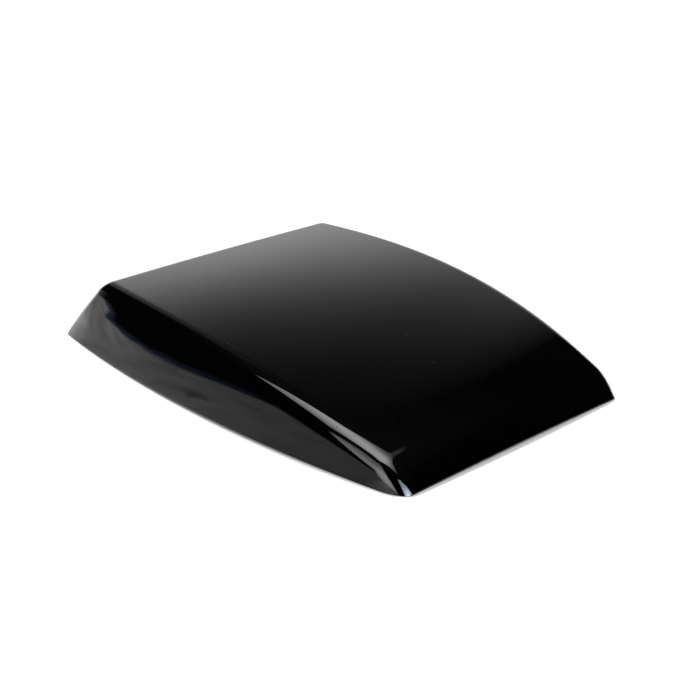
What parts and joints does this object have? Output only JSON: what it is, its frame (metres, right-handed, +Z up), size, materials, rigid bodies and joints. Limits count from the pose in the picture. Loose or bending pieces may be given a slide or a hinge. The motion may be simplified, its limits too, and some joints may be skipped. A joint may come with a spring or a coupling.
{
  "type": "decorative hood vent",
  "caption": "Low gloss black bonnet scoop with a raked open mouth, bowed sides, rounded edges and a hollow underside, bonded on by the rim along its foot.",
  "frame": {"origin": "middle of the footprint, on the flat ground that the four foot corners stand on", "axes": "+X across the vent, +Y from the mouth to the tail, +Z up and away from the panel"},
  "size_m": [0.246, 0.34, 0.0529],
  "materials": {
    "gloss_abs": "gloss"
  },
  "bodies": {
    "root": {"scoop_shell": "gloss_abs"}
  },
  "joints": []
}
